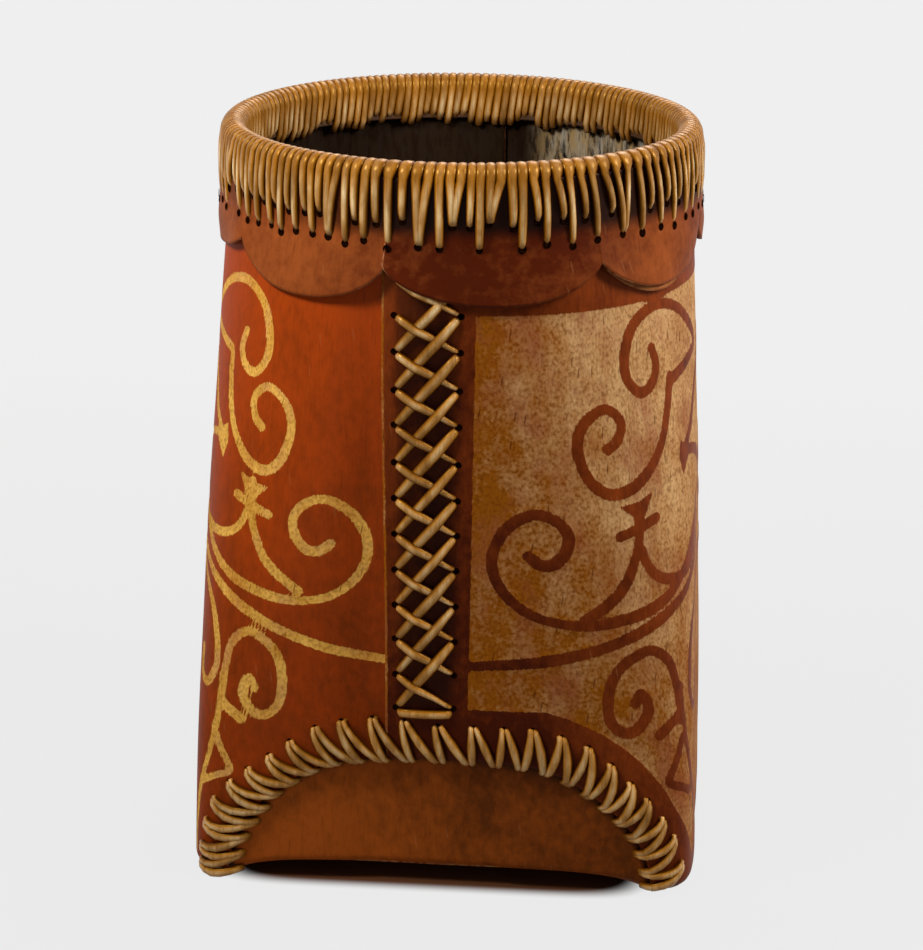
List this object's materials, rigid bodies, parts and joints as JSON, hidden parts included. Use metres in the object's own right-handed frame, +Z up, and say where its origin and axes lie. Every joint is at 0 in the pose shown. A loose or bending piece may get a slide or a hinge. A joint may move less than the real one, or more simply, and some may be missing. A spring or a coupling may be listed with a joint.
{
  "type": "birch bark basket",
  "caption": "Tall open basket of folded birch bark with a rectangular base and a round mouth, laced up its ends with split root and root-bound over a scalloped collar.",
  "frame": {"origin": "middle of the floor that the basket stands on, under the centre of its mouth", "axes": "+Z up through the mouth, the laced end that is seen first faces -Y, +X to its right"},
  "size_m": [0.2116, 0.1996, 0.3113],
  "materials": {
    "bark_red": "inner face of winter bark, red-brown, satin",
    "bark_tan": "winter bark scraped back to its tan layer, satin",
    "bark_brown": "inner face of winter bark, brown, satin",
    "split_root": "split and peeled root, golden, polished by handling",
    "hoop_wood": "split and bent wood"
  },
  "bodies": {
    "root": {"base": "bark_brown", "left_wall": "bark_red", "right_wall": "bark_tan", "front_tongue": "bark_brown", "back_tongue": "bark_brown", "collar": "bark_red", "rim_hoop": "hoop_wood", "rim_binding_1": "split_root", "rim_binding_2": "split_root", "rim_binding_3": "split_root", "rim_binding_4": "split_root", "front_seam_rising": "split_root", "front_seam_falling": "split_root", "back_seam_rising": "split_root", "back_seam_falling": "split_root", "front_arch_lacing": "split_root", "back_arch_lacing": "split_root"}
  },
  "joints": []
}
